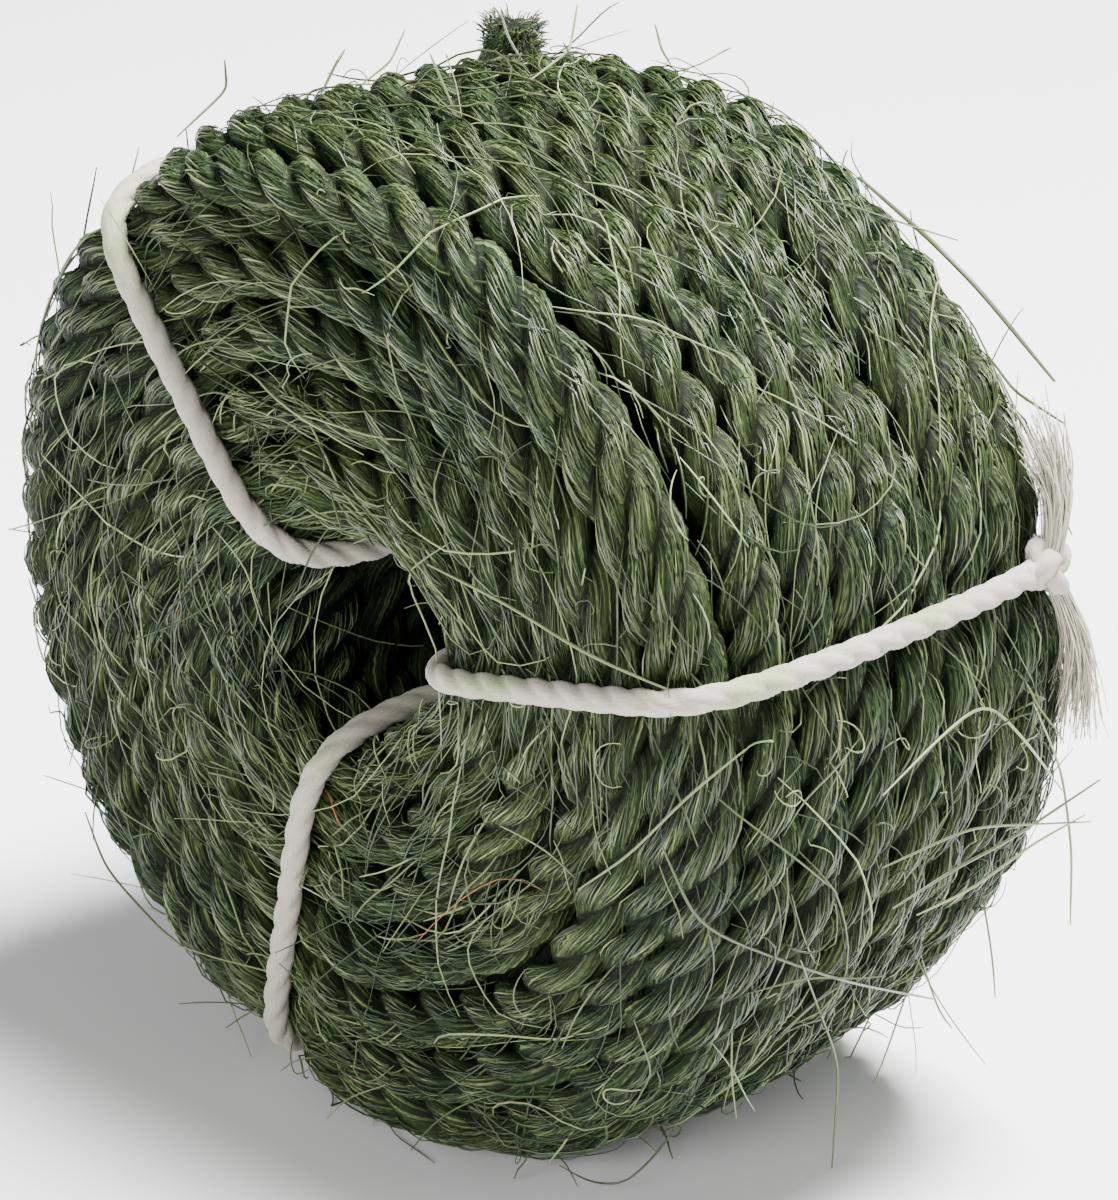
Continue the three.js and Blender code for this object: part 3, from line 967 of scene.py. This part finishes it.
class COIL_OT_stage(Operator):
    """Make the camera, the lights and the pale floor"""

    bl_idname = "coil.stage"
    bl_label = "Stage"

    def execute(self, context):
        scene = context.scene
        azimuth, elevation, distance = math.radians(46.9), math.radians(22.6), 0.636
        back = Vector(
            (
                math.sin(azimuth) * math.cos(elevation),
                -math.cos(azimuth) * math.cos(elevation),
                math.sin(elevation),
            )
        )
        right = Vector((math.cos(azimuth), math.sin(azimuth), 0))
        up = back.cross(right)
        aim = Vector((0, 0, AXIS_HEIGHT * MM)) + right * 0.00188 - up * 0.00108
        camera = bpy.data.objects.new("camera", bpy.data.cameras.new("camera"))
        camera.data.sensor_fit = "HORIZONTAL"
        camera.data.sensor_width = 36
        camera.data.lens = 204.8
        camera.data.clip_start = 0.05
        camera.data.clip_end = 20
        camera.location = aim + back * distance
        camera.rotation_mode = "QUATERNION"
        camera.rotation_quaternion = (-back).to_track_quat("-Z", "Y")
        scene.collection.objects.link(camera)
        scene.camera = camera

        world = bpy.data.worlds.new("studio")
        world.use_nodes = True
        background = world.node_tree.nodes["Background"]
        background.inputs["Color"].default_value = (1, 1, 1, 1)
        background.inputs["Strength"].default_value = 0.26
        scene.world = world

        lights = (
            ("overhead", (0.1, 0.2, 0.8), 0.28, 42.0),
            ("right", (0.75, 0.3, 0.5), 0.3, 1.5),
            ("front", (0.3, -0.8, 0.35), 0.35, 7.0),
        )
        middle = Vector((0, 0, AXIS_HEIGHT * MM))
        for name, place, size, power in lights:
            lamp = bpy.data.lights.new(name, "AREA")
            lamp.shape = "SQUARE"
            lamp.size = size
            lamp.energy = power
            holder = bpy.data.objects.new(name, lamp)
            holder.location = place
            holder.rotation_mode = "QUATERNION"
            holder.rotation_quaternion = (middle - Vector(place)).to_track_quat("-Z", "Y")
            scene.collection.objects.link(holder)

        corners = [(-FLOOR, -FLOOR, 0), (FLOOR, -FLOOR, 0), (FLOOR, FLOOR, 0), (-FLOOR, FLOOR, 0)]
        floor = bpy.data.objects.new("floor", mesh_from("floor", corners, (), [(0, 1, 2, 3)]))
        scene.collection.objects.link(floor)
        _, shader = new_material("pale_floor")
        shader.inputs["Base Color"].default_value = (0.9, 0.9, 0.9, 1)
        shader.inputs["Roughness"].default_value = 0.9
        floor.data.materials.append(bpy.data.materials["pale_floor"])
        return {"FINISHED"}


class COIL_OT_rope_end(Operator):
    """Lay the rope's free end, which springs up behind the far face"""

    bl_idname = "coil.rope_end"
    bl_label = "Rope End"

    def execute(self, context):
        sizes = context.scene.rope_sizes
        points = smooth_route(ROPE_END, 48, 3)
        run = length_along(points)
        forward = unit(np.gradient(points, axis=0))
        facing = np.cross(forward, np.cross((0.0, 1.0, 0.0), forward))
        swell = 0.97 + 0.08 * smooth_step((run - run[-1] + 6.0) / 4.0) - 0.3 * smooth_step((run - run[-1] + 1.2) / 1.2)
        piece = laid_rope("sisal_rope_end", points, unit(facing), run, swell, "sisal_rope", sizes, ROPE_STRAND_OUT)
        settle_piece(piece, "sisal", "rope_end")
        return {"FINISHED"}


class COIL_OT_turns(Operator):
    """Wind the rope's turns over the belly, the two faces and the core"""

    bl_idname = "coil.turns"
    bl_label = "Turns of Rope"

    # Each piece's name, and the turns it goes from and to.
    parts = (
        ("turns_belly", -4.5, 4.5),
        ("turns_far_face", 4.5, 10.0),
        ("turns_core", 10.0, 17.6),
        ("turns_near_face", 17.6, 23.5),
    )

    def execute(self, context):
        sizes = context.scene.rope_sizes
        winding = Winding(sizes.lay / MM)
        sizes.lay = winding.lay * MM
        for name, first, last in self.parts:
            start = winding.length_at(np.array(first * TAU)) - 0.6
            stop = winding.length_at(np.array(last * TAU)) + 0.6
            length = np.linspace(start, stop, int((stop - start) / ROPE_STEP))
            wound = winding.wound_at(length)
            centre, outward, _, _ = rope_frame(wound)
            swell = 1 + SWELL_WANDER * wander(wound, 14)
            swell[0] *= 0.96
            swell[-1] *= 0.96
            # The core turns take the darkened painted-shade copy of the rope material.
            material = "sisal_core_painted_shade" if name == "turns_core" else "sisal_rope"
            piece = laid_rope(name, centre, outward, winding.run_at(length), swell, material, sizes, ROPE_STRAND_OUT)
            settle_piece(piece, "sisal", *(["rope_coil"] if name == "turns_belly" else []))
        return {"FINISHED"}


class COIL_OT_inner_layer(Operator):
    """Fill the coil under its outer turns, so that deep gaps show more rope"""

    bl_idname = "coil.inner_layer"
    bl_label = "Inner Layer"

    def execute(self, context):
        stations, per_turn = 150, 5
        angle = np.linspace(0, TAU, stations, endpoint=False)[:, None]
        share = (np.arange(TURNS * per_turn) / (TURNS * per_turn))[None, :]
        step = stepped(angle)
        off = np.mod(share * TURNS - step + 1.0, 1) - 0.5
        lift = -6.0 + 1.4 * np.cos(off * TAU)
        points, _ = on_winding(angle, share, lift)
        count = share.shape[1]
        points = points.reshape(-1, 3)
        points[:, 2] = np.maximum(points[:, 2], 0.2)
        faces = []
        for i in range(stations):
            here, there = i * count, ((i + 1) % stations) * count
            faces += [
                (here + j, here + (j + 1) % count, there + (j + 1) % count, there + j) for j in range(count)
            ]
        mesh = mesh_from("inner_layer", points, (), faces)
        shape = (stations, count)
        run = np.broadcast_to(angle * 30, shape)
        way = np.broadcast_to(off * TAU, shape)
        set_attribute(mesh, "run", "FLOAT", (run * MM).ravel())
        spot = np.stack([np.cos(way), np.sin(way), np.zeros(shape)], axis=-1) * 0.45
        set_attribute(mesh, "on_strand", "FLOAT_VECTOR", spot.reshape(-1, 3))
        # A depth of 0.55 gives this layer the rope material's darkest painted groove shade.
        set_attribute(mesh, "depth", "FLOAT", np.full(stations * count, 0.55))
        mesh.polygons.foreach_set("use_smooth", np.ones(len(mesh.polygons), dtype=bool))
        mesh.materials.append(bpy.data.materials["sisal_rope"])
        piece = bpy.data.objects.new("inner_layer", mesh)
        context.scene.collection.objects.link(piece)
        settle_piece(piece, "sisal")
        return {"FINISHED"}


class COIL_OT_ties(Operator):
    """Tie the three cotton strings, with their knots and frayed tails"""

    bl_idname = "coil.ties"
    bl_label = "Strings"

    def execute(self, context):
        sizes = context.scene.string_sizes
        radius = sizes.diameter / MM / 2
        rng = np.random.default_rng(31)
        for name, (degrees, _, along, tails) in TIES.items():
            angle = math.radians(degrees)
            ring, _ = on_winding(angle, np.linspace(0, 1, 361), 0)
            around = np.linalg.norm(np.diff(ring, axis=0), axis=1).sum()
            share = along / around + np.linspace(0, 1, 260)
            points, facing = on_winding(angle, share, radius + 0.1)
            run = length_along(points)
            cotton = ("cotton_string", sizes, STRING_PLY_OUT, 6, degrees)
            string = laid_rope(name + "_string", points, facing, run, np.ones(len(run)), *cotton)
            settle_piece(string, "cotton", name)

            out = facing[0]
            side = np.array([-math.sin(angle), 0, math.cos(angle)])
            onward = np.cross(side, out)
            onward = onward if np.dot(onward, points[1] - points[0]) > 0 else -onward
            middle = points[0] + out * 0.8
            t = np.linspace(0, TAU, 49)
            loop = np.stack([np.sin(t) + 2 * np.sin(2 * t), np.cos(t) - 2 * np.cos(2 * t), -np.sin(3 * t)], axis=-1)
            loop *= (0.75, 0.75, 0.95)
            basis = np.stack([side, onward, out])
            knot = middle + loop @ basis
            forward = unit(np.gradient(knot, axis=0))
            knot_facing = np.cross(forward, np.cross(out[None], forward))
            knot_run = length_along(knot)
            piece = laid_rope(name + "_knot", knot, unit(knot_facing), knot_run, np.full(49, 0.82), *cotton)
            settle_piece(piece, "cotton")

            bundles = []
            for tail in tails:
                tip = np.array(tail) @ np.stack([side, out, onward])
                bundles.append(self.frayed_tail(rng, middle, tip, out, sizes.filament / 2))
            piece = fibres_piece(name + "_tails", bundles, "cotton_filament")
            settle_piece(piece, "cotton")
        return {"FINISHED"}

    def frayed_tail(self, rng, middle, tip, out, thick):
        """Filaments that leave the knot as one string and fan out into a soft tuft."""
        count = 150
        t = np.linspace(0, 1, 11)[None, :]
        reach = rng.uniform(0.72, 1.04, count)[:, None]
        spine = middle + tip * (t * reach)[..., None] + out * (np.sin(np.pi * t) * 1.4)[..., None]
        way = unit(rng.normal(0, 1, (count, 3)))
        start = way * rng.uniform(0.1, 0.95, count)[:, None]
        fan = way * rng.uniform(0.4, 2.6, count)[:, None]
        points = spine + start[:, None] + fan[:, None] * (t**1.6)[..., None]
        phase = rng.uniform(0, TAU, (count, 1, 3))
        wave = np.sin(phase + (t * rng.uniform(5, 11, count)[:, None])[..., None])
        points = points + wave * (0.3 * t)[..., None]
        points[..., 2] = np.maximum(points[..., 2], 0.1)
        return {
            "points": points,
            "thick": thick * rng.uniform(0.5, 1.2, count)[:, None] * (1 - 0.5 * t**2),
            "tone": np.zeros((count, t.shape[1])),
        }


class COIL_OT_strand_fibres(Operator):
    """Lay the fibres that show on the strands of every outer turn"""

    bl_idname = "coil.strand_fibres"
    bl_label = "Fibres on the Strands"

    def execute(self, context):
        sizes, counts = context.scene.rope_sizes, context.scene.fibre_counts
        fibres = Fibres(Winding(sizes.lay / MM), sizes, 41)
        for name, first, last in (
            ("strand_fibres_belly", -4.5, 4.5),
            ("strand_fibres_far_face", 4.5, 11.0),
            ("strand_fibres_near_face", 16.5, 23.5),
        ):
            piece = fibres_piece(name, [fibres.on_strands(first, last, counts.per_lens)], "sisal_fibre")
            settle_piece(piece, "sisal")
        return {"FINISHED"}


class COIL_OT_loose_fibres(Operator):
    """Scatter the fibres that lie over the turns, curl on them and stand off them"""

    bl_idname = "coil.loose_fibres"
    bl_label = "Loose Fibres"

    def execute(self, context):
        sizes, counts = context.scene.rope_sizes, context.scene.fibre_counts
        fibres = Fibres(Winding(sizes.lay / MM), sizes, 43)
        # Each piece's name, the shares of the section it covers, and its share of all the fibres.
        for name, low, high, part in (
            ("loose_fibres_belly", -0.17, 0.16, 0.5),
            ("loose_fibres_far_face", 0.16, 0.365, 0.2),
            ("loose_fibres_near_face", 0.635, 0.83, 0.3),
        ):
            lying = counts.lying * part
            bundles = [
                fibres.over_turns(int(lying * 0.6), 4, low, high, 6, (5, 14), 0.2, 0.7, 0.08, mixed_tones),
                fibres.over_turns(int(lying * 0.33), 2, low, high, 9, (12, 28), 0.28, 1.0, 0.2, mixed_tones),
                fibres.over_turns(int(lying * 0.05), 1, low, high, 11, (16, 40), 0.5, 1.3, 0.6, pale_tones),
                fibres.curls(int(counts.curly * part), low, high),
                fibres.flyaways(int(counts.flyaway * part), low, high),
            ]
            settle_piece(fibres_piece(name, bundles, "sisal_fibre"), "sisal")
        settle_piece(fibres_piece("long_fibres", fibres.routed(LONG_FIBRES), "sisal_fibre", 5), "sisal")
        return {"FINISHED"}


class COIL_OT_end_fray(Operator):
    """Fray the tip of the rope's free end"""

    bl_idname = "coil.end_fray"
    bl_label = "Frayed Tip"

    def execute(self, context):
        sizes = context.scene.rope_sizes
        fibres = Fibres(Winding(sizes.lay / MM), sizes, 47)
        rng = fibres.rng
        tip = np.array(ROPE_END[-1]) + (0, 0, AXIS_HEIGHT)
        forward = unit(tip - (np.array(ROPE_END[-3]) + (0, 0, AXIS_HEIGHT)))
        count = 420
        t = np.linspace(0, 1, 7)[None, :]
        spread = rng.normal(0, 1, (count, 3))
        spread -= (spread @ forward)[:, None] * forward
        spread = unit(spread)
        out = 3.1 * np.sqrt(rng.random(count))[:, None]
        long_one = rng.random(count)[:, None] < 0.05
        length = np.where(long_one, rng.uniform(3.0, 6.0, (count, 1)), rng.uniform(0.9, 2.6, (count, 1)))
        base = tip - forward * rng.uniform(0.4, 3.5, count)[:, None] + spread * out
        bow = np.where(long_one, 1.2, rng.uniform(0.4, 1.5, (count, 1)))
        points = base[:, None] + forward * (length * (t - 0.5 * t**2))[..., None]
        points = points + spread[:, None] * (bow * t**2)[..., None]
        bundle = fibres.bundle(points, rng.beta(1.6, 2.4, count) * 0.8, rng.uniform(0.5, 0.9, count))
        settle_piece(fibres_piece("rope_end_fray", [bundle], "sisal_fibre"), "sisal")
        return {"FINISHED"}


class COIL_PT_panel(Panel):
    """Sizes, colours and steps of the rope coil"""

    bl_idname = "COIL_PT_panel"
    bl_label = "Rope Coil"
    bl_space_type = "VIEW_3D"
    bl_region_type = "UI"
    bl_category = "Rope Coil"

    def draw(self, context):
        for group in ("rope_sizes", "string_sizes", "fibre_counts", "coil_colours"):
            box = self.layout.box()
            settings = getattr(context.scene, group)
            for key in settings.__annotations__:
                box.prop(settings, key)
        for operator in OPERATORS:
            self.layout.operator(operator.bl_idname)


OPERATORS = (
    COIL_OT_stage,
    COIL_OT_rope_end,
    COIL_OT_turns,
    COIL_OT_inner_layer,
    COIL_OT_ties,
    COIL_OT_strand_fibres,
    COIL_OT_loose_fibres,
    COIL_OT_end_fray,
)
GROUPS = {
    "rope_sizes": RopeSizes,
    "string_sizes": StringSizes,
    "fibre_counts": FibreCounts,
    "coil_colours": CoilColours,
}


def register():
    for group in GROUPS.values():
        bpy.utils.register_class(group)
    for name, group in GROUPS.items():
        setattr(bpy.types.Scene, name, PointerProperty(type=group))
    for operator in OPERATORS:
        bpy.utils.register_class(operator)
    bpy.utils.register_class(COIL_PT_panel)


def unregister():
    bpy.utils.unregister_class(COIL_PT_panel)
    for operator in reversed(OPERATORS):
        bpy.utils.unregister_class(operator)
    for name in GROUPS:
        delattr(bpy.types.Scene, name)
    for group in reversed(list(GROUPS.values())):
        bpy.utils.unregister_class(group)


def main():
    register()
    make_materials()
    strand_tree()
    fibre_tree()
    bpy.ops.coil.stage()
    bpy.ops.coil.rope_end()
    bpy.ops.coil.turns()
    bpy.ops.coil.inner_layer()
    bpy.ops.coil.ties()
    bpy.ops.coil.strand_fibres()
    bpy.ops.coil.loose_fibres()
    bpy.ops.coil.end_fray()


if __name__ == "__main__":
    main()
